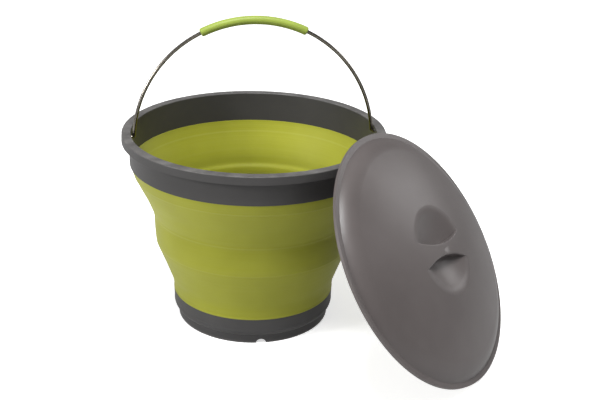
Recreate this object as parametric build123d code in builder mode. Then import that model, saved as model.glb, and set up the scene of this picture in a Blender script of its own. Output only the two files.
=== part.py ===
from build123d import *
import os
from math import acos, atan2, cos, degrees, hypot, radians, sin, sqrt

os.makedirs("parts", exist_ok=True)

# Folding bucket with a lid leaning on it. The bucket's axis is Z, its foot stands on z = 0,
# and the bail turns about an axis along X. Sizes in millimetres and degrees.

# overall
bucket_height = 212.0
rim_radius = 140.0  # outside of the lip
foot_radius = 83.2  # outside of the foot ring where it meets the floor

# rim ring
lip_thickness = 2.4
skirt_height = 8.4
skirt_wall = 2.0
skirt_flare = 0.4
rim_wall = 2.4
rim_depth = 33.0
wall_set_back = 7.4  # from the lip's edge to the outside of the wall below it
rim_edge_round = 0.9

# rubber sleeve, measured on its outside
rubber_wall = 2.2  # level thickness, the same all the way down
strip_height = 12.0
strip_step = 0.2
strip_draft = 4.2
upper_crease_drop = 26.2
upper_crease_share = 0.3192  # each share is of the step in radius from the cone's top to the base
middle_top_drop = 19.0
middle_top_share = 0.18204
middle_height = 32.5
middle_bulge = 0.4
middle_bottom_share = 0.03491
lower_crease_drop = 21.5
lower_crease_share = 0.21696
lower_top_drop = 24.0
lower_top_share = 0.21945
bead_out = 0.5
bead_height = 2.2
rings_per_fold = 3
ring_gap = 0.3
cut_margin = 0.1

# base pan
base_depth = 30.0
base_wall = 2.6
base_draft = 0.4
shoulder_round = 8.0
shoulder_fall = 0.3  # share of the step in radius that is gone halfway round the shoulder
foot_height = 10.4
foot_step = 0.7
foot_draft = 0.9
shoulder_out = 3.5  # the pan's wall outside the step over the foot
foot_wall = 4.0
floor_thickness = 3.0
floor_round = 5.0
notch_radius = 5.4
notch_sink = 0.6
notch_angle = -90.9

# bail and grip
wire_radius = 1.9
pivot_below_rim = 5.0
pivot_clearance = 0.06
elbow_radius = 3.0
elbow_gap = 0.4  # between the end of the bend and the rim's wall
arc_drop = 6.4  # the big arc's centre below the pivots
wire_end = 3.9  # how far the wire's end stands past the rim's wall
boss_radius = 4.4
boss_height = 2.6
bail_lean = 5.0
grip_wall = 2.6  # from the wire to the outside of the grip
grip_half_chord = 55.5
grip_clearance = 0.05
grip_round = 2.0  # stays under the grip's wall less its clearance

# lid
lid_inset = 4.1  # the lid's edge inside the lip's edge
lid_wall = 2.2
flange_width = 5.6
flange_lip = 0.8
flange_lip_width = 1.8
dome_height = 26.0
dome_radius = 420.0
shoulder_width = 17.5
bead_gap = 0.5
bead_width = 1.6
bead_depth = 1.0
scoop_depth = 11.0
scoop_reach = 43.5
scoop_offset = 4.0
scoop_flare = 22.0  # radius of the soft edge where a scoop runs out into the dome
flare_rise = 0.05  # how far the soft edge's crest stands over the dome, so the faces cross
bridge_half_width = 6.3
bridge_curve = 99.0
scoop_turn = -12.0
scoop_edge_round = 1.2
lid_azimuth = -38.7
lid_overhang = 14.4  # how far the leaning lid stands above the rim
lean_gap = 0.1

# rim and base stations
wall_outer = rim_radius - wall_set_back
wall_inner = wall_outer - rim_wall
rim_bottom = bucket_height - rim_depth
skirt_bottom = bucket_height - skirt_height
lip_under = bucket_height - lip_thickness
skirt_inner = rim_radius - skirt_wall
pivot_z = bucket_height - pivot_below_rim

# sleeve stations, from the rim down to the base
strip_r = wall_outer - strip_step
cone_r = strip_r - strip_draft + strip_step
cone_z = rim_bottom - strip_height
base_r = foot_radius + foot_draft + foot_step + shoulder_out
taper = cone_r - base_r
upper_crease_r = cone_r - upper_crease_share * taper
upper_crease_z = cone_z - upper_crease_drop
middle_r = upper_crease_r - middle_top_share * taper
middle_z = upper_crease_z - middle_top_drop
middle_low_r = middle_r - middle_bottom_share * taper
middle_low_z = middle_z - middle_height
lower_crease_r = middle_low_r - lower_crease_share * taper
lower_crease_z = middle_low_z - lower_crease_drop
lower_r = lower_crease_r - lower_top_share * taper
lower_z = lower_crease_z - lower_top_drop

# the radii of the upright cuts that let each ring of a fold slide past its neighbours
upper_outer_cut = strip_r - rubber_wall - strip_draft
upper_inner_cut = middle_r + middle_bulge
lower_outer_cut = middle_low_r - rubber_wall - ring_gap
lower_inner_cut = lower_r + cut_margin


def level_wall(outer):
    # closed loop of a wall that keeps its level thickness under an outside line
    return outer + [(r - rubber_wall, z) for r, z in reversed(outer)]


def ring_cuts(inner, outer):
    # inside and outside radius of each ring of a fold, from the innermost
    width = (outer - inner - (rings_per_fold + 1) * ring_gap) / rings_per_fold
    starts = [inner + ring_gap + i * (width + ring_gap) for i in range(rings_per_fold)]
    return [(start, start + width) for start in starts]


# ---- rim ring: lip, skirt and wall in one moulding, with a boss behind each pivot hole
with BuildPart() as rim_ring:
    with BuildSketch(Plane.XZ):
        with BuildLine():
            Polyline(
                (wall_inner, rim_bottom),
                (wall_inner, bucket_height),
                (rim_radius, bucket_height),
                (rim_radius + skirt_flare, skirt_bottom),
                (skirt_inner + skirt_flare, skirt_bottom),
                (skirt_inner, lip_under),
                (wall_outer, lip_under),
                (wall_outer, rim_bottom),
                close=True,
            )
        make_face()
    revolve(axis=Axis.Z)
    top = rim_ring.faces().sort_by(Axis.Z)[-1]
    fillet(top.edges(), rim_edge_round)
    for side in (-1, 1):
        with BuildSketch(Plane.YZ.offset(side * (wall_outer - rim_wall / 2))):
            with Locations((0, pivot_z)):
                Circle(boss_radius)
        extrude(amount=side * (boss_height + rim_wall / 2))
        with BuildSketch(Plane.YZ.offset(side * (wall_inner - rim_wall))):
            with Locations((0, pivot_z)):
                Circle(wire_radius + pivot_clearance)
        extrude(amount=side * (boss_height + 2 * rim_wall), mode=Mode.SUBTRACT)
rim_ring.part.label = "rim_ring"
export_step(rim_ring.part, "parts/rim_ring.step")

# ---- rubber sleeve, from the top: near-vertical strip, upper fold, middle band, lower fold, lower band
upper_outside = [
    (strip_r, rim_bottom),
    (cone_r, cone_z),
    (upper_crease_r, upper_crease_z),
    (middle_r, middle_z),
]
lower_outside = [
    (middle_low_r, middle_low_z),
    (lower_crease_r, lower_crease_z),
    (lower_r, lower_z),
]

with BuildPart() as upper_band:
    with BuildSketch(Plane.XZ):
        with BuildLine():
            Polyline(*level_wall(upper_outside[:3]), close=True)
        make_face()
        with Locations((upper_outer_cut, rim_bottom)):
            Rectangle(rim_radius, 2 * bucket_height, align=(Align.MIN, Align.CENTER), mode=Mode.INTERSECT)
    revolve(axis=Axis.Z)
upper_band.part.label = "upper_band"
export_step(upper_band.part, "parts/upper_band.step")

for number, (inside, outside) in enumerate(ring_cuts(upper_inner_cut, upper_outer_cut), 1):
    with BuildPart() as upper_ring:
        with BuildSketch(Plane.XZ):
            with BuildLine():
                Polyline(*level_wall(upper_outside[1:]), close=True)
            make_face()
            with Locations(((inside + outside) / 2, middle_z)):
                Rectangle(outside - inside, 2 * bucket_height, mode=Mode.INTERSECT)
        revolve(axis=Axis.Z)
    upper_ring.part.label = f"upper_fold_ring_{number}"
    export_step(upper_ring.part, f"parts/upper_fold_ring_{number}.step")

with BuildPart() as middle_band:
    with BuildSketch(Plane.XZ):
        with BuildLine():
            Polyline(*level_wall(upper_outside[2:]), close=True)
        make_face()
        with BuildLine():
            Polyline(*level_wall(lower_outside[:2]), close=True)
        make_face()
        with Locations((lower_outer_cut, middle_z)):
            Rectangle(
                upper_inner_cut - lower_outer_cut,
                2 * bucket_height,
                align=(Align.MIN, Align.CENTER),
                mode=Mode.INTERSECT,
            )
        middle_mid_z = middle_z - middle_height / 2
        with BuildLine():
            ThreePointArc(
                (middle_r, middle_z), (middle_r + middle_bulge, middle_mid_z), (middle_low_r, middle_low_z)
            )
            Line((middle_low_r, middle_low_z), (middle_low_r - rubber_wall, middle_low_z))
            ThreePointArc(
                (middle_low_r - rubber_wall, middle_low_z),
                (middle_r + middle_bulge - rubber_wall, middle_mid_z),
                (middle_r - rubber_wall, middle_z),
            )
            Line((middle_r - rubber_wall, middle_z), (middle_r, middle_z))
        make_face()
    revolve(axis=Axis.Z)
middle_band.part.label = "middle_band"
export_step(middle_band.part, "parts/middle_band.step")

for number, (inside, outside) in enumerate(ring_cuts(lower_inner_cut, lower_outer_cut), 1):
    with BuildPart() as lower_ring:
        with BuildSketch(Plane.XZ):
            with BuildLine():
                Polyline(*level_wall(lower_outside), close=True)
            make_face()
            with Locations(((inside + outside) / 2, lower_z)):
                Rectangle(outside - inside, 2 * bucket_height, mode=Mode.INTERSECT)
        revolve(axis=Axis.Z)
    lower_ring.part.label = f"lower_fold_ring_{number}"
    export_step(lower_ring.part, f"parts/lower_fold_ring_{number}.step")

with BuildPart() as lower_band:
    with BuildSketch(Plane.XZ):
        with BuildLine():
            Polyline(*level_wall(lower_outside[1:]), close=True)
        make_face()
        with Locations((lower_inner_cut, lower_z)):
            Rectangle(base_r, 2 * bucket_height, align=(Align.MAX, Align.CENTER), mode=Mode.INTERSECT)
        with BuildLine():
            Polyline(
                (lower_r, lower_z),
                (base_r, base_depth + bead_height),
                (base_r + bead_out, base_depth + bead_height / 2),
                (base_r, base_depth),
                (base_r - base_wall, base_depth),
                (lower_r - rubber_wall, lower_z),
                close=True,
            )
        make_face()
    revolve(axis=Axis.Z)
lower_band.part.label = "lower_band"
export_step(lower_band.part, "parts/lower_band.step")

# ---- base pan: a wall with a rounded shoulder, a floor, and a foot ring with a drain notch
with BuildPart() as base_pan:
    shoulder_r = base_r - base_draft
    foot_top_r = foot_radius + foot_draft
    floor_under = foot_height - foot_step
    floor_top = floor_under + floor_thickness
    pan_inner = base_r - base_wall
    with BuildSketch(Plane.XZ):
        with BuildLine():
            Polyline(
                (0, floor_under),
                (0, floor_top),
                (pan_inner - floor_round, floor_top),
            )
            ThreePointArc(
                (pan_inner - floor_round, floor_top),
                (
                    pan_inner - floor_round * (1 - sin(radians(45))),
                    floor_top + floor_round * (1 - cos(radians(45))),
                ),
                (pan_inner, floor_top + floor_round),
            )
            Polyline(
                (pan_inner, floor_top + floor_round),
                (pan_inner, base_depth),
                (base_r, base_depth),
                (shoulder_r, foot_height + shoulder_round),
            )
            ThreePointArc(
                (shoulder_r, foot_height + shoulder_round),
                (
                    shoulder_r - shoulder_fall * (shoulder_r - foot_top_r - foot_step),
                    foot_height + shoulder_round * (1 - cos(radians(45))),
                ),
                (foot_top_r + foot_step, foot_height),
            )
            Polyline(
                (foot_top_r + foot_step, foot_height),
                (foot_top_r, floor_under),
                (foot_radius, 0),
                (foot_radius - foot_wall, 0),
                (foot_radius - foot_wall, floor_under),
                (0, floor_under),
            )
        make_face()
    revolve(axis=Axis.Z)
    notch_way = Vector(1, 0, 0).rotate(Axis.Z, notch_angle)
    with BuildSketch(Plane(origin=(0, 0, 0), x_dir=Vector(0, 0, 1).cross(notch_way), z_dir=notch_way)):
        with Locations((0, -notch_sink)):
            Circle(notch_radius)
    extrude(amount=foot_radius + foot_wall, mode=Mode.SUBTRACT)
base_pan.part.label = "base_pan"
export_step(base_pan.part, "parts/base_pan.step")

# ---- bail: one round wire whose bent ends pass out through the rim's wall
bend_end = wall_inner - elbow_gap
arc_radius = sqrt(bend_end**2 + (elbow_radius + arc_drop) ** 2) - elbow_radius
arc_angle = degrees(atan2(elbow_radius + arc_drop, bend_end))
grip_radius = wire_radius + grip_wall
bail_plane = Plane(
    origin=(0, 0, pivot_z),
    x_dir=(1, 0, 0),
    z_dir=(0, -cos(radians(bail_lean)), sin(radians(bail_lean))),
)
with BuildPart() as bail:
    with BuildLine(bail_plane) as bail_line:
        Line((-wall_outer - wire_end, 0), (-bend_end, 0))
        CenterArc((-bend_end, elbow_radius), elbow_radius, -90, 90 - arc_angle)
        CenterArc((0, -arc_drop), arc_radius, 180 - arc_angle, 2 * arc_angle - 180)
        CenterArc((bend_end, elbow_radius), elbow_radius, 180 + arc_angle, 90 - arc_angle)
        Line((bend_end, 0), (wall_outer + wire_end, 0))
    with BuildSketch(Plane(origin=(-wall_outer - wire_end, 0, pivot_z), z_dir=(1, 0, 0))):
        Circle(wire_radius)
    sweep(path=bail_line.wires()[0])
bail.part.label = "bail"
export_step(bail.part, "parts/bail.step")

# ---- grip: a soft tube on the top of the bail, its ends rounded
with BuildPart() as grip:
    grip_angle = degrees(atan2(grip_half_chord, sqrt(arc_radius**2 - grip_half_chord**2)))
    with BuildLine(bail_plane) as grip_line:
        CenterArc((0, -arc_drop), arc_radius, 90 - grip_angle, 2 * grip_angle)
    with BuildSketch(Plane(origin=grip_line.line @ 0, z_dir=grip_line.line % 0)):
        Circle(grip_radius)
        Circle(wire_radius + grip_clearance, mode=Mode.SUBTRACT)
    sweep()
    ends = grip.faces().filter_by(GeomType.PLANE)
    fillet([face.outer_wire().edges()[0] for face in ends], grip_round)
grip.part.label = "grip"
export_step(grip.part, "parts/grip.step")

# ---- lid, drawn flat about its own axis: flange, rounded shoulder, shallow dome, two finger scoops
lid_radius = rim_radius - lid_inset
flange_in = lid_radius - flange_width
crown_r = flange_in - shoulder_width
crown_drop = dome_radius - sqrt(dome_radius**2 - crown_r**2)
crown_slope = degrees(atan2(crown_r, sqrt(dome_radius**2 - crown_r**2)))
shoulder_rise = dome_height - crown_drop
shoulder_slope = 2 * degrees(atan2(shoulder_rise, shoulder_width)) - crown_slope
shoulder_radius = shoulder_width / (sin(radians(shoulder_slope)) - sin(radians(crown_slope)))
shoulder_centre_r = flange_in - shoulder_radius * sin(radians(shoulder_slope))
shoulder_centre_h = -shoulder_radius * cos(radians(shoulder_slope))


def on_shoulder(slope, inset):
    # point of the shoulder where it falls at this slope, moved in by a wall
    reach = shoulder_radius - inset
    return (
        shoulder_centre_r + reach * sin(radians(slope)),
        shoulder_centre_h + reach * cos(radians(slope)),
    )


def on_crown(r, inset):
    # point of the crown at this distance from the axis, moved in by a wall
    return (r, dome_height - dome_radius + sqrt((dome_radius - inset) ** 2 - r**2))


def dome_section(inset, foot):
    # draw the closed half section under the dome, down to a level foot, in the open line
    start = on_shoulder(crown_slope, inset)
    end = on_shoulder(shoulder_slope, inset)
    ThreePointArc(on_crown(0, inset), on_crown(start[0] / 2, inset), start)
    ThreePointArc(start, on_shoulder((crown_slope + shoulder_slope) / 2, inset), end)
    Polyline(end, (end[0], foot), (0, foot), on_crown(0, inset))


def scoop_tool(side, inset):
    # ball with a flared edge, cut off by the upright cylinder that is the bridge's side
    ball = scoop_ball + inset
    flare = scoop_flare - inset
    apart = hypot(scoop_offset, dome_radius - scoop_depth + scoop_ball)
    tilt = degrees(atan2(scoop_offset, dome_radius - scoop_depth + scoop_ball))
    # the flare's centre, from its distances to the crown's centre and to the ball's
    far = dome_radius - scoop_flare + flare_rise
    near = scoop_ball + scoop_flare
    up = (far**2 - near**2 + apart**2) / (2 * apart)
    out = sqrt(far**2 - up**2)
    join = Vector(out * ball / near, apart + (up - apart) * ball / near)
    crest = Vector(out, up) * (1 + flare / far)
    low_way = (join + Vector(0, -ball - apart)).normalized()
    turn_way = (join + crest - 2 * Vector(out, up)).normalized()
    with BuildPart(mode=Mode.PRIVATE) as dish:
        with BuildSketch(Plane.XZ):
            with BuildLine():
                ThreePointArc((0, apart - ball), Vector(0, apart) + low_way * ball, join)
                ThreePointArc(join, Vector(out, up) + turn_way * flare, crest)
                Polyline(crest, crest + Vector(0, dome_height), (0, crest.Y + dome_height), (0, apart - ball))
            make_face()
        revolve(axis=Axis.Z)
    # turned a quarter about itself so that its seam stays clear of the bridge's side
    placed = Pos(0, 0, dome_height - dome_radius) * Rot(-side * tilt, 0, 0) * Rot(0, 0, side * 90) * dish.part
    post = Pos(0, side * (bridge_half_width + bridge_curve), 0) * Cylinder(bridge_curve + inset, 4 * dome_height)
    return Rot(0, 0, scoop_turn) * (placed & post)


scoop_ball = (scoop_reach**2 + scoop_depth**2) / (2 * scoop_depth)
scoops = [scoop_tool(side, 0) for side in (-1, 1)]
scoop_shells = [scoop_tool(side, lid_wall) for side in (-1, 1)]

with BuildPart() as flat_lid:
    with BuildSketch(Plane.XZ):
        with BuildLine():
            dome_section(0, -lid_wall)
        make_face()
        with BuildLine():
            Polyline(
                (flange_in - lid_wall, -lid_wall),
                (flange_in, 0),
                (lid_radius, 0),
                (lid_radius, -lid_wall - flange_lip),
                (lid_radius - flange_lip_width, -lid_wall - flange_lip),
                (lid_radius - flange_lip_width, -lid_wall),
                close=True,
            )
        make_face()
    revolve(axis=Axis.Z)
    add(scoops, mode=Mode.SUBTRACT)
    bridge_edges = [
        edge
        for edge in flat_lid.edges(Select.LAST)
        if abs(edge.center().Y) < bridge_half_width + scoop_edge_round
        and edge.center().Z > dome_height - scoop_edge_round
    ]
    fillet(bridge_edges, scoop_edge_round)
    with BuildPart(mode=Mode.PRIVATE) as hollow:
        with BuildSketch(Plane.XZ):
            with BuildLine():
                dome_section(lid_wall, -2 * lid_wall)
            make_face()
        revolve(axis=Axis.Z)
        add(scoop_shells, mode=Mode.SUBTRACT)
    add(hollow.part, mode=Mode.SUBTRACT)
    bead_r = wall_inner - bead_gap
    with BuildSketch(Plane.XY.offset(-lid_wall - bead_depth)):
        Circle(bead_r)
        Circle(bead_r - bead_width, mode=Mode.SUBTRACT)
    extrude(amount=bead_depth)

# the lid stands on the floor and leans on the rim: its tilt follows from both heights, and its
# place from how far the rim's edge can go into the hollow under the dome
lip_depth = lid_wall + flange_lip
span = hypot(2 * lid_radius, lip_depth)
lean = atan2(lip_depth, 2 * lid_radius) + acos((bucket_height + lid_overhang) / span)
lid_z = lid_radius * cos(lean) + lip_depth * sin(lean)


def lid_underside(rho):
    # lowest material of the lid at this distance from its axis
    if rho > lid_radius - flange_lip_width:
        return -lip_depth
    if bead_r - bead_width < rho < bead_r:
        return -lid_wall - bead_depth
    if rho > flange_in - lid_wall:
        return -lid_wall
    reach = shoulder_radius - lid_wall
    return shoulder_centre_h + sqrt(reach**2 - max(0, rho - shoulder_centre_r) ** 2)


corner_cut = rim_edge_round * (1 - cos(radians(45)))
corner_r = rim_radius - corner_cut
corner_z = bucket_height - corner_cut
rim_dip = 0.0
for turn in range(3):
    touch = (corner_z - lid_z - rim_dip * sin(lean)) / cos(lean)
    room = []
    for step in range(120):
        across = corner_r * sin(radians(step / 4))
        back = corner_r * (1 - cos(radians(step / 4)))
        rho = hypot(across, touch + back * sin(lean))
        room.append(lid_underside(rho) + back * cos(lean))
    rim_dip = min(room) - lean_gap
lid_out = corner_r + touch * sin(lean) - rim_dip * cos(lean)

lid_way = Vector(1, 0, 0).rotate(Axis.Z, lid_azimuth)
lid_place = Plane(
    origin=lid_way * lid_out + Vector(0, 0, lid_z),
    x_dir=Vector(0, 0, 1).cross(lid_way),
    z_dir=lid_way * cos(lean) + Vector(0, 0, sin(lean)),
)
with BuildPart() as lid:
    with Locations(lid_place):
        add(flat_lid.part)
lid.part.label = "lid"
export_step(lid.part, "parts/lid.step")
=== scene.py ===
import math
import bpy
import bmesh
from mathutils import Matrix, Vector


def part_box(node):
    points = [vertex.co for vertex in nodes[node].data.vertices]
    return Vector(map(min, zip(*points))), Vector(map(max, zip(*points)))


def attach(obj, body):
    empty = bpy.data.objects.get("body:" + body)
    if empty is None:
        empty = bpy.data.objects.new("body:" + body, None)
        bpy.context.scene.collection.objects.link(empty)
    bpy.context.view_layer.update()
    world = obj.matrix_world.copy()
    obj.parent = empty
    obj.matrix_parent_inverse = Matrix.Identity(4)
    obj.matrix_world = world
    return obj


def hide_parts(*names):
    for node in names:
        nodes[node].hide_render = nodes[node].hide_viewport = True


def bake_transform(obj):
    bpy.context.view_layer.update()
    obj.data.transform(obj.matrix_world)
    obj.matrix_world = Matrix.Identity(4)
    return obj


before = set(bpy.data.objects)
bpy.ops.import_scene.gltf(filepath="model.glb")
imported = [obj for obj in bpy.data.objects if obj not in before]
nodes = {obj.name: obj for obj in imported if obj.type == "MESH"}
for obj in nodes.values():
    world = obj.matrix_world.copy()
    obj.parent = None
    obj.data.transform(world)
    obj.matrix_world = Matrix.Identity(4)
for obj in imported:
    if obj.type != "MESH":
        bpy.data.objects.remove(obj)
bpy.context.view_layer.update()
print("frame loaded")

# camera
view = {
    "spot": (-0.13468, -1.10109, 0.5926),
    "turn": 9.57,  # degrees to the right of +Y
    "dip": 22.574,
    "roll": 1.5206,
    "lens": 66.0,
    "sensor": 36.0,
    "near": 0.05,
    "far": 30,
}


def makeCamera():
    turn, dip, roll = (math.radians(view[k]) for k in ("turn", "dip", "roll"))
    forward = Vector((math.sin(turn) * math.cos(dip), math.cos(turn) * math.cos(dip), -math.sin(dip)))
    right = Vector((math.cos(turn), -math.sin(turn), 0))
    up = right.cross(forward)
    side = right * math.cos(roll) + up * math.sin(roll)
    top = up * math.cos(roll) - right * math.sin(roll)
    data = bpy.data.cameras.new("camera")
    data.lens, data.sensor_width = view["lens"], view["sensor"]
    data.clip_start, data.clip_end = view["near"], view["far"]
    cam = bpy.data.objects.new("camera", data)
    bpy.context.scene.collection.objects.link(cam)
    cam.matrix_world = Matrix.Translation(view["spot"]) @ Matrix((side, top, -forward)).transposed().to_4x4()
    bpy.context.scene.camera = cam


makeCamera()
print("camera placed")


# shader helpers
def newGroup(name, ins, outs, treeKind="ShaderNodeTree"):
    tree = bpy.data.node_groups.new(name, treeKind)
    for label, value in ins:
        sort = {int: "NodeSocketInt", float: "NodeSocketFloat"}.get(type(value), "NodeSocketMaterial")
        socket = tree.interface.new_socket(label, in_out="INPUT", socket_type=sort)
        if value is not None:
            socket.default_value = value
    for label, kind in outs:
        tree.interface.new_socket(label, in_out="OUTPUT", socket_type=kind)
    return tree, tree.nodes.new("NodeGroupInput"), tree.nodes.new("NodeGroupOutput")


def put(tree, kind, **inputs):
    node = tree.nodes.new(kind)
    for key, value in inputs.items():
        if hasattr(node, key) and key not in node.inputs:
            setattr(node, key, value)
        else:
            node.inputs[key].default_value = value
    return node


def calc(tree, op, a, b=None, third=None, clamp=False):
    node = tree.nodes.new("ShaderNodeMath")
    node.operation, node.use_clamp = op, clamp
    for i, v in enumerate((a, b, third)):
        if v is None:
            continue
        if isinstance(v, (int, float)):
            node.inputs[i].default_value = v
        else:
            tree.links.new(v, node.inputs[i])
    return node.outputs[0]


def grainGroup():
    tree, gin, gout = newGroup(
        "mouldedGrain",
        [("Grain scale", 900.0), ("Grain depth", 0.08), ("Cloud scale", 14.0)],
        [("Grain", "NodeSocketFloat"), ("Cloud", "NodeSocketFloat"), ("Normal", "NodeSocketVector")],
    )
    where = tree.nodes.new("ShaderNodeTexCoord")
    fine = put(tree, "ShaderNodeTexNoise", Detail=3.0, Roughness=0.6)
    cloud = put(tree, "ShaderNodeTexNoise", Detail=4.0, Roughness=0.55)
    bump = put(tree, "ShaderNodeBump", Distance=0.0004)
    for tex, socket in ((fine, "Grain scale"), (cloud, "Cloud scale")):
        tree.links.new(where.outputs["Object"], tex.inputs["Vector"])
        tree.links.new(gin.outputs[socket], tex.inputs["Scale"])
    tree.links.new(fine.outputs["Fac"], bump.inputs["Height"])
    tree.links.new(gin.outputs["Grain depth"], bump.inputs["Strength"])
    tree.links.new(fine.outputs["Fac"], gout.inputs["Grain"])
    tree.links.new(cloud.outputs["Fac"], gout.inputs["Cloud"])
    tree.links.new(bump.outputs["Normal"], gout.inputs["Normal"])
    return tree


def levelLineGroup():  # 1 on a level line round the object, 0 away from it
    tree, gin, gout = newGroup(
        "levelLine", [("Level", 0.1), ("Half width", 0.001)], [("Mask", "NodeSocketFloat")]
    )
    where = tree.nodes.new("ShaderNodeTexCoord")
    split = tree.nodes.new("ShaderNodeSeparateXYZ")
    tree.links.new(where.outputs["Object"], split.inputs[0])
    away = calc(tree, "ABSOLUTE", calc(tree, "SUBTRACT", split.outputs["Z"], gin.outputs["Level"]))
    share = calc(tree, "DIVIDE", away, gin.outputs["Half width"])
    tree.links.new(calc(tree, "SUBTRACT", 1.0, share, clamp=True), gout.inputs["Mask"])
    return tree


def streakGroup():  # faint drawn-out streaks that run round the object
    tree, gin, gout = newGroup(
        "roundStreaks", [("Fineness", 240.0), ("Spread", 7.0)], [("Streak", "NodeSocketFloat")]
    )
    where = tree.nodes.new("ShaderNodeTexCoord")
    size = tree.nodes.new("ShaderNodeCombineXYZ")
    stretch = put(tree, "ShaderNodeVectorMath", operation="MULTIPLY")
    noise = put(tree, "ShaderNodeTexNoise", Scale=1.0, Detail=4.0, Roughness=0.6)
    for axis, socket in (("X", "Spread"), ("Y", "Spread"), ("Z", "Fineness")):
        tree.links.new(gin.outputs[socket], size.inputs[axis])
    tree.links.new(where.outputs["Object"], stretch.inputs[0])
    tree.links.new(size.outputs[0], stretch.inputs[1])
    tree.links.new(stretch.outputs[0], noise.inputs["Vector"])
    tree.links.new(noise.outputs["Fac"], gout.inputs["Streak"])
    return tree


grain, levelLine, streaks = grainGroup(), levelLineGroup(), streakGroup()


def use(tree, group, **values):
    node = tree.nodes.new("ShaderNodeGroup")
    node.node_tree = group
    for key, value in values.items():
        node.inputs[key.replace("_", " ")].default_value = value
    return node


def newMaterial(name, rough=0.5, metal=0.0, **extra):
    mat = bpy.data.materials.new(name)
    mat.use_nodes = True
    shader = mat.node_tree.nodes["Principled BSDF"]
    shader.inputs["Roughness"].default_value = rough
    shader.inputs["Metallic"].default_value = metal
    for key, value in extra.items():
        shader.inputs[key.replace("_", " ")].default_value = value
    return mat, mat.node_tree, shader


def shade(tree, fac, dark, light, low=0.3, high=0.7):
    ramp = tree.nodes.new("ShaderNodeValToRGB")
    ramp.color_ramp.elements[0].position, ramp.color_ramp.elements[1].position = low, high
    ramp.color_ramp.elements[0].color = (*dark, 1)
    ramp.color_ramp.elements[1].color = (*light, 1)
    tree.links.new(fac, ramp.inputs["Fac"])
    return ramp.outputs["Color"]


def blendColour(tree, fac, a, b, mode="MIX"):
    mix = tree.nodes.new("ShaderNodeMix")
    mix.data_type, mix.blend_type = "RGBA", mode
    for i, v in ((0, fac), (6, a), (7, b)):
        if isinstance(v, (int, float)):
            mix.inputs[i].default_value = v
        elif isinstance(v, tuple):
            mix.inputs[i].default_value = (*v, 1)
        else:
            tree.links.new(v, mix.inputs[i])
    return mix.outputs[2]


def spread(tree, value, low, high):
    node = tree.nodes.new("ShaderNodeMapRange")
    node.inputs["To Min"].default_value, node.inputs["To Max"].default_value = low, high
    node.inputs["From Min"].default_value, node.inputs["From Max"].default_value = 0.25, 0.75
    tree.links.new(value, node.inputs["Value"])
    return node.outputs[0]


# rigid grey plastic
# pale grey for the base's rubbed wear and for the painted highlight on the rim's top lip
wearAndHighlightGrey = (0.30, 0.29, 0.28)


def greyPlastic(name, look):
    mat, tree, shader = newMaterial(name, Specular_IOR_Level=look["gloss"])
    g = use(tree, grain, Grain_scale=1500.0, Grain_depth=0.12, Cloud_scale=11.0)
    colour = shade(tree, g.outputs["Cloud"], look["dark"], look["light"])
    for level, half, amount in look["wearAndHighlightLines"]:  # paled along level lines: a painted highlight on the rim's top lip, rubbed wear on the base
        line = use(tree, levelLine, Level=level, Half_width=half)
        streak = use(tree, streaks, Fineness=900.0, Spread=60.0)
        patchy = spread(tree, streak.outputs["Streak"], 0.0, amount)
        broken = calc(tree, "MULTIPLY", line.outputs["Mask"], patchy)
        colour = blendColour(tree, broken, colour, wearAndHighlightGrey)
    tree.links.new(colour, shader.inputs["Base Color"])
    tree.links.new(spread(tree, g.outputs["Grain"], *look["rough"]), shader.inputs["Roughness"])
    tree.links.new(g.outputs["Normal"], shader.inputs["Normal"])
    return mat


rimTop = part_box("rim_ring")[1][2]
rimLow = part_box("rim_ring")[0][2]
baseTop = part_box("base_pan")[1][2]
rimLook = {
    "dark": (0.046, 0.0445, 0.044),
    "light": (0.058, 0.0555, 0.055),
    # the rim line is a painted highlight along the top lip, broken up into streaks
    "wearAndHighlightLines": [(rimTop, 0.0012, 0.35)],  # height, half width, amount
    "rough": (0.36, 0.5),
    "gloss": 0.28,
}
baseLook = {
    "dark": (0.050, 0.048, 0.049),
    "light": (0.063, 0.061, 0.0615),
    "wearAndHighlightLines": [(0.0, 0.003, 0.5), (0.0104, 0.0007, 0.25)],
    "rough": (0.36, 0.5),
    "gloss": 0.28,
}
lidLook = {
    "dark": (0.088, 0.076, 0.074),
    "light": (0.112, 0.098, 0.096),
    "wearAndHighlightLines": [],
    "rough": (0.30, 0.44),
    "gloss": 0.42,
}
paint = {
    "rim_ring": greyPlastic("rimPlastic", rimLook),
    "base_pan": greyPlastic("basePlastic", baseLook),
    "lid": greyPlastic("lidPlastic", lidLook),
}


# bail wire and grip
bailLook = {"dark": (0.20, 0.185, 0.155), "light": (0.31, 0.285, 0.245), "rough": (0.16, 0.3)}
gripLook = {
    "dark": (0.225, 0.295, 0.036),
    "light": (0.275, 0.355, 0.048),
    "rough": (0.42, 0.6),
    "gloss": 0.4,
    "sheen": 0.15,
}


def wireSteel():
    mat, tree, shader = newMaterial("bailSteel", metal=1.0)
    g = use(tree, grain, Grain_scale=2600.0, Grain_depth=0.05, Cloud_scale=30.0)
    colour = shade(tree, g.outputs["Cloud"], bailLook["dark"], bailLook["light"])
    tree.links.new(colour, shader.inputs["Base Color"])
    tree.links.new(spread(tree, g.outputs["Grain"], *bailLook["rough"]), shader.inputs["Roughness"])
    tree.links.new(g.outputs["Normal"], shader.inputs["Normal"])
    return mat


def gripRubber():
    mat, tree, shader = newMaterial(
        "gripRubber", Specular_IOR_Level=gripLook["gloss"], Sheen_Weight=gripLook["sheen"]
    )
    g = use(tree, grain, Grain_scale=1900.0, Grain_depth=0.2, Cloud_scale=38.0)
    colour = shade(tree, g.outputs["Cloud"], gripLook["dark"], gripLook["light"])
    tree.links.new(colour, shader.inputs["Base Color"])
    tree.links.new(spread(tree, g.outputs["Grain"], *gripLook["rough"]), shader.inputs["Roughness"])
    tree.links.new(g.outputs["Normal"], shader.inputs["Normal"])
    return mat


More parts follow.
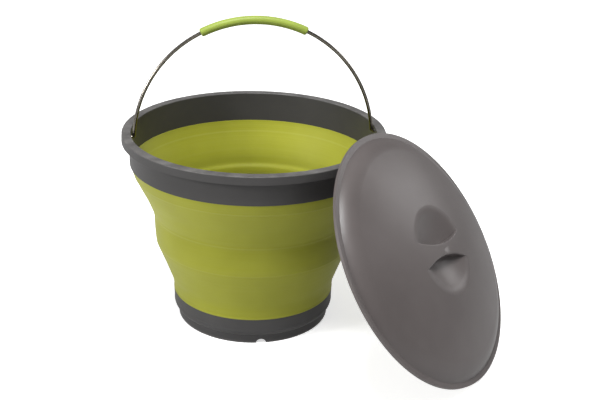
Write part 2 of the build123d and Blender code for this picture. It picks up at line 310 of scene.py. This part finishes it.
paint["bail"] = wireSteel()
paint["grip"] = gripRubber()
for nodeName, mat in paint.items():
    mesh = nodes[nodeName].data
    for i in range(max(1, len(mesh.materials))):
        if mesh.materials:
            nodes[nodeName].material_slots[i].material = mat
        else:
            mesh.materials.append(mat)
print("rigid pieces painted")

# rubber sleeve
sleeve = {
    "wall": 0.0022,
    "strip": 0.1324,
    "cone": (0.1282, 0.1670),
    "crease": (0.1154, 0.1408),
    "bandTop": (0.1081, 0.1218),
    "bulge": 0.0004,
    "bandLow": (0.1067, 0.0893),
    "lowCrease": (0.0980, 0.0678),
    "lowTop": (0.0892, 0.0438),
    "foot": (0.0879, 0.0322),
    "bead": 0.0005,
    "beadAt": (baseTop + 0.0011, 0.0009),  # height, reach
    "ledge": 0.0011,
    "ledgeAt": (0.1300, 0.0013, 0.009),  # height, sharpness, reach
    "ridge": 0.0003,
    "ridgeLevels": (0.1670, 0.1218, 0.0893),
    "ridgeHalf": 0.0008,
    "soft": 0.0042,
    "row": 0.0008,
    "around": 160,
    "seamGap": 0.000005,  # points nearer than this are one
    "dark": (0.262, 0.270, 0.017),
    "light": (0.322, 0.330, 0.026),
    "streakTint": (0.36, 0.36, 0.08),
    # pale green painted as a highlight along the ridges and the bead
    "ridgeHighlight": (0.50, 0.49, 0.16),
    "rough": (0.46, 0.62),
}


def outlineTree():  # radius at a height, straight between the knees
    tree, gin, gout = newGroup(
        "sleeveOutline", [("Height", 0.1)], [("Radius", "NodeSocketFloat")], "GeometryNodeTree"
    )
    knees = [sleeve[k] for k in ("foot", "lowTop", "lowCrease", "bandLow", "bandTop", "crease", "cone")]
    knees.append((sleeve["strip"], rimLow))
    radius = knees[0][0]
    for (r0, z0), (r1, z1) in zip(knees, knees[1:]):
        step = tree.nodes.new("ShaderNodeMapRange")
        for label, value in (("From Min", z0), ("From Max", z1), ("To Min", 0.0), ("To Max", r1 - r0)):
            step.inputs[label].default_value = value
        tree.links.new(gin.outputs["Height"], step.inputs["Value"])
        radius = calc(tree, "ADD", step.outputs[0], radius)
    tree.links.new(radius, gout.inputs["Radius"])
    return tree


def softOutlineTree(samples=9):  # the outline with each knee rounded over a short height
    tree, gin, gout = newGroup(
        "softOutline",
        [("Height", 0.1), ("Rounding", 0.004)],
        [("Radius", "NodeSocketFloat")],
        "GeometryNodeTree",
    )
    outline, total = outlineTree(), 0.0
    for i in range(samples):
        shift = calc(tree, "MULTIPLY", gin.outputs["Rounding"], 2 * i / (samples - 1) - 1)
        here = tree.nodes.new("GeometryNodeGroup")
        here.node_tree = outline
        tree.links.new(calc(tree, "ADD", gin.outputs["Height"], shift), here.inputs["Height"])
        total = calc(tree, "ADD", here.outputs["Radius"], total)
    tree.links.new(calc(tree, "DIVIDE", total, float(samples)), gout.inputs["Radius"])
    return tree


def bell(tree, z, level, reach):  # 1 at a level, fading out above and below it
    share = calc(tree, "DIVIDE", calc(tree, "SUBTRACT", z, level), reach)
    return calc(tree, "EXPONENT", calc(tree, "MULTIPLY", calc(tree, "MULTIPLY", share, share), -1.0))


def pick(tree, first, yes, no):  # yes where first is 1, no where it is 0
    return calc(tree, "ADD", calc(tree, "MULTIPLY", first, calc(tree, "SUBTRACT", yes, no)), no)


def sectionPlace(tree, size, index, edges):  # a point's column, its side of the wall and its height
    perColumn = calc(tree, "ADD", edges, 1.0)
    column = calc(tree, "FLOOR", calc(tree, "DIVIDE", calc(tree, "ADD", index, 0.5), perColumn))
    inColumn = calc(tree, "SUBTRACT", index, calc(tree, "MULTIPLY", column, perColumn))
    place = calc(tree, "MODULO", inColumn, edges)
    outside = calc(tree, "LESS_THAN", place, calc(tree, "ADD", size["Rows"], 0.5))
    back = calc(tree, "SUBTRACT", calc(tree, "SUBTRACT", edges, 1.0), place)
    row = pick(tree, outside, place, back)
    height = calc(tree, "SUBTRACT", size["High"], size["Low"])
    drop = calc(tree, "MULTIPLY", calc(tree, "DIVIDE", row, size["Rows"]), height)
    return column, outside, calc(tree, "SUBTRACT", size["High"], drop)


def wallRadius(tree, size, z, outside):
    soft = tree.nodes.new("GeometryNodeGroup")
    soft.node_tree = softOutlineTree()
    tree.links.new(z, soft.inputs["Height"])
    tree.links.new(size["Rounding"], soft.inputs["Rounding"])
    rise = tree.nodes.new("ShaderNodeMapRange")  # 0 to pi up the middle band
    rise.inputs["From Min"].default_value = sleeve["bandLow"][1]
    rise.inputs["From Max"].default_value = sleeve["bandTop"][1]
    rise.inputs["To Max"].default_value = math.pi
    tree.links.new(z, rise.inputs["Value"])
    swell = calc(tree, "MULTIPLY", calc(tree, "SINE", rise.outputs[0]), size["Bulge"])

    raised = calc(tree, "MULTIPLY", bell(tree, z, *sleeve["beadAt"]), size["Bead"])
    for level in sleeve["ridgeLevels"]:
        ridge = calc(tree, "MULTIPLY", bell(tree, z, level, sleeve["ridgeHalf"]), size["Ridge"])
        raised = calc(tree, "ADD", raised, ridge)
    level, sharp, reach = sleeve["ledgeAt"]
    turn = calc(tree, "TANH", calc(tree, "DIVIDE", calc(tree, "SUBTRACT", z, level), sharp))
    ledge = calc(tree, "MULTIPLY", calc(tree, "MULTIPLY", turn, bell(tree, z, level, reach)), size["Ledge"])
    inner = calc(tree, "SUBTRACT", ledge, size["Wall"])
    plain = calc(tree, "ADD", soft.outputs["Radius"], swell)
    return calc(tree, "ADD", plain, pick(tree, outside, raised, inner))


def curvedFaces(tree, size, index, edges):  # 1 on the two walls, 0 on the flat ends
    side = calc(tree, "MODULO", index, edges)
    lowEnd = calc(tree, "COMPARE", side, size["Rows"], third=0.1)
    highEnd = calc(tree, "COMPARE", side, calc(tree, "SUBTRACT", edges, 1.0), third=0.1)
    return calc(tree, "SUBTRACT", 1.0, calc(tree, "ADD", lowEnd, highEnd))


def skinTree():  # one closed length of the sleeve, turned round the upright axis
    tree, gin, gout = newGroup(
        "sleeveSkin",
        [
            ("High", 0.15), ("Low", 0.14), ("Rows", 12), ("Around", 160), ("Rounding", 0.004),
            ("Wall", 0.002), ("Bulge", 0.0004), ("Ridge", 0.0003), ("Bead", 0.0005),
            ("Ledge", 0.001), ("Rubber", None),
        ],
        [("Geometry", "NodeSocketGeometry")],
        "GeometryNodeTree",
    )
    size, add = gin.outputs, tree.nodes.new
    index = add("GeometryNodeInputIndex").outputs[0]
    edges = calc(tree, "MULTIPLY_ADD", size["Rows"], 2.0, third=2.0)  # steps round the section
    grid = add("GeometryNodeMeshGrid")
    tree.links.new(calc(tree, "ADD", size["Around"], 1.0), grid.inputs["Vertices X"])
    tree.links.new(calc(tree, "ADD", edges, 1.0), grid.inputs["Vertices Y"])

    column, outside, z = sectionPlace(tree, size, index, edges)
    radius = wallRadius(tree, size, z, outside)
    angle = calc(tree, "MULTIPLY", calc(tree, "DIVIDE", column, size["Around"]), 2 * math.pi)
    point = add("ShaderNodeCombineXYZ")
    for axis, turn in (("X", "COSINE"), ("Y", "SINE")):
        tree.links.new(calc(tree, "MULTIPLY", radius, calc(tree, turn, angle)), point.inputs[axis])
    tree.links.new(z, point.inputs["Z"])
    setPlace = add("GeometryNodeSetPosition")
    tree.links.new(point.outputs[0], setPlace.inputs["Position"])

    softFaces = add("GeometryNodeSetShadeSmooth")
    tree.links.new(curvedFaces(tree, size, index, edges), softFaces.inputs["Shade Smooth"])
    onFaces = add("GeometryNodeFieldOnDomain")
    onFaces.domain, onFaces.data_type = "FACE", "FLOAT"
    tree.links.new(add("GeometryNodeInputShadeSmooth").outputs[0], onFaces.inputs[0])
    softEdges = add("GeometryNodeSetShadeSmooth")  # leaves them sharp where a flat end meets the wall
    softEdges.domain = "EDGE"
    tree.links.new(calc(tree, "GREATER_THAN", onFaces.outputs[0], 0.9), softEdges.inputs["Shade Smooth"])

    merge = add("GeometryNodeMergeByDistance")
    merge.inputs["Distance"].default_value = sleeve["seamGap"]
    flip = add("GeometryNodeFlipFaces")
    realize = add("GeometryNodeRealizeInstances")
    dress = add("GeometryNodeSetMaterial")
    tree.links.new(size["Rubber"], dress.inputs["Material"])
    chain = [grid, softFaces, setPlace, merge, softEdges, flip, realize, dress]
    for before, after in zip(chain, chain[1:]):
        tree.links.new(before.outputs[0], after.inputs[0])
    tree.links.new(dress.outputs[0], gout.inputs["Geometry"])
    return tree


def makeSleeve(name, tree, high, low, rubber):
    sizes = {
        "High": high, "Low": low, "Rows": max(3, round((high - low) / sleeve["row"])),
        "Around": sleeve["around"], "Rounding": sleeve["soft"], "Wall": sleeve["wall"],
        "Bulge": sleeve["bulge"], "Ridge": sleeve["ridge"], "Bead": sleeve["bead"],
        "Ledge": sleeve["ledge"], "Rubber": rubber,
    }
    piece = bpy.data.objects.new(name, bpy.data.meshes.new(name + "Start"))
    bpy.context.scene.collection.objects.link(piece)
    skin = piece.modifiers.new("skin", "NODES")
    skin.node_group = tree
    for item in tree.interface.items_tree:
        if item.in_out == "INPUT":
            skin[item.identifier] = sizes[item.name]
    ready = piece.evaluated_get(bpy.context.evaluated_depsgraph_get())
    mesh = bpy.data.meshes.new_from_object(ready)
    piece.modifiers.remove(skin)
    piece.data = mesh
    mesh.name = name
    mesh.materials.clear()
    mesh.materials.append(rubber)
    return piece


def sleeveRubber():
    mat, tree, shader = newMaterial(
        "sleeveRubber", Specular_IOR_Level=0.16, Sheen_Weight=0.12, Sheen_Roughness=0.5,
        Subsurface_Weight=0.12, Subsurface_Scale=0.004,
    )
    shader.inputs["Subsurface Radius"].default_value = (0.8, 1.0, 0.2)
    g = use(tree, grain, Grain_scale=1300.0, Grain_depth=0.1, Cloud_scale=9.0)
    s = use(tree, streaks, Fineness=420.0, Spread=5.0)
    colour = shade(tree, g.outputs["Cloud"], sleeve["dark"], sleeve["light"])
    colour = blendColour(tree, spread(tree, s.outputs["Streak"], 0.0, 0.16), colour, sleeve["streakTint"])
    # painted highlight: a faint pale line along each ridge and along the bead
    for level in (*sleeve["ridgeLevels"], sleeve["beadAt"][0]):
        line = use(tree, levelLine, Level=level, Half_width=0.0013)
        faint = calc(tree, "MULTIPLY", line.outputs["Mask"], 0.12)
        colour = blendColour(tree, faint, colour, sleeve["ridgeHighlight"])
    tree.links.new(colour, shader.inputs["Base Color"])
    tree.links.new(spread(tree, s.outputs["Streak"], *sleeve["rough"]), shader.inputs["Roughness"])
    bump = put(tree, "ShaderNodeBump", Strength=0.25, Distance=0.0005)
    tree.links.new(s.outputs["Streak"], bump.inputs["Height"])
    tree.links.new(g.outputs["Normal"], bump.inputs["Normal"])
    tree.links.new(bump.outputs["Normal"], shader.inputs["Normal"])
    return mat


# name, bodies at its ends, top, foot, nodes it stands for
sleevePlan = [
    ("sleeveTop", ("rim",), 0.1790, 0.1645, ["upper_band"]),
    ("upperFoldA", ("rim", "upper_ring_3"), 0.1645, 0.1575, ["upper_fold_ring_3"]),
    ("upperFoldB", ("upper_ring_3", "upper_ring_2"), 0.1575, 0.1460, ["upper_fold_ring_2"]),
    ("upperFoldC", ("upper_ring_2", "upper_ring_1"), 0.1460, 0.1340, ["upper_fold_ring_1"]),
    ("upperFoldD", ("upper_ring_1", "middle"), 0.1340, 0.1240, []),
    ("sleeveMiddle", ("middle",), 0.1240, 0.0870, ["middle_band"]),
    ("lowerFoldA", ("middle", "lower_ring_3"), 0.0870, 0.0790, ["lower_fold_ring_3"]),
    ("lowerFoldB", ("lower_ring_3", "lower_ring_2"), 0.0790, 0.0670, ["lower_fold_ring_2"]),
    ("lowerFoldC", ("lower_ring_2", "lower_ring_1"), 0.0670, 0.0550, ["lower_fold_ring_1"]),
    ("lowerFoldD", ("lower_ring_1", "base"), 0.0550, 0.0450, []),
    ("sleeveFoot", ("base",), 0.0450, baseTop, ["lower_band"]),
]
rubber, skin = sleeveRubber(), skinTree()
for name, bodies, high, low, stands in sleevePlan:
    piece = makeSleeve(name, skin, high, low, rubber)
    if len(bodies) == 1:
        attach(piece, bodies[0])
    else:
        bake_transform(piece)
    if stands:
        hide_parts(*stands)
print("sleeve made")

# floor and light
studio = {
    "half": 6.0,
    "paper": ((0.90, 0.90, 0.90), (0.93, 0.93, 0.93)),
    "bounce": (0.50, 0.50, 0.50),  # what the floor and the air give to the object
    "glow": (0.20, 0.20, 0.20),
    "air": (0.24, 0.24, 0.24),
    "seenGlow": (0.62, 0.62, 0.62),  # what the camera sees of them
    "seenAir": (1.0, 1.0, 1.0),
}


def makeFloor():
    bm = bmesh.new()
    bmesh.ops.create_grid(bm, x_segments=4, y_segments=4, size=studio["half"])
    mesh = bpy.data.meshes.new("floor")
    bm.to_mesh(mesh)
    bm.free()
    obj = bpy.data.objects.new("floor", mesh)
    bpy.context.scene.collection.objects.link(obj)
    mat, tree, shader = newMaterial("floorPaper", 0.9, Specular_IOR_Level=0.1, Emission_Strength=1.0)
    g = use(tree, grain, Grain_scale=300.0, Grain_depth=0.03, Cloud_scale=2.0)
    seen = tree.nodes.new("ShaderNodeLightPath").outputs["Is Camera Ray"]
    paper = shade(tree, g.outputs["Cloud"], *studio["paper"])
    tree.links.new(blendColour(tree, seen, studio["bounce"], paper), shader.inputs["Base Color"])
    glow = blendColour(tree, seen, studio["glow"], studio["seenGlow"])
    tree.links.new(glow, shader.inputs["Emission Color"])
    mesh.materials.append(mat)


# place, aim, watts
lamps = {
    "keyLight": ((-2.2, -0.7, 1.2), (0, 0, 0.12), 42),
    "topLight": ((-0.1, -0.6, 2.1), (0, 0.05, 0.12), 52),
    "rimLight": ((2.0, 0.7, 1.0), (0.12, 0, 0.12), 6),
}
lampSize = 0.8


def makeLight(name, spot, aim, watts):
    data = bpy.data.lights.new(name, "AREA")
    data.shape, data.size, data.energy = "DISK", lampSize, watts
    lamp = bpy.data.objects.new(name, data)
    bpy.context.scene.collection.objects.link(lamp)
    lamp.location = spot
    lamp.rotation_mode = "QUATERNION"
    lamp.rotation_quaternion = (Vector(aim) - Vector(spot)).to_track_quat("-Z", "Y")


makeFloor()
for name, (spot, aim, watts) in lamps.items():
    makeLight(name, spot, aim, watts)
world = bpy.data.worlds.new("studio")
bpy.context.scene.world = world
world.use_nodes = True
seen = world.node_tree.nodes.new("ShaderNodeLightPath").outputs["Is Camera Ray"]
airColour = blendColour(world.node_tree, seen, studio["air"], studio["seenAir"])
world.node_tree.links.new(airColour, world.node_tree.nodes["Background"].inputs["Color"])
world.node_tree.nodes["Background"].inputs["Strength"].default_value = 1.0
bpy.context.scene.view_settings.view_transform = "Standard"
print("studio lit")
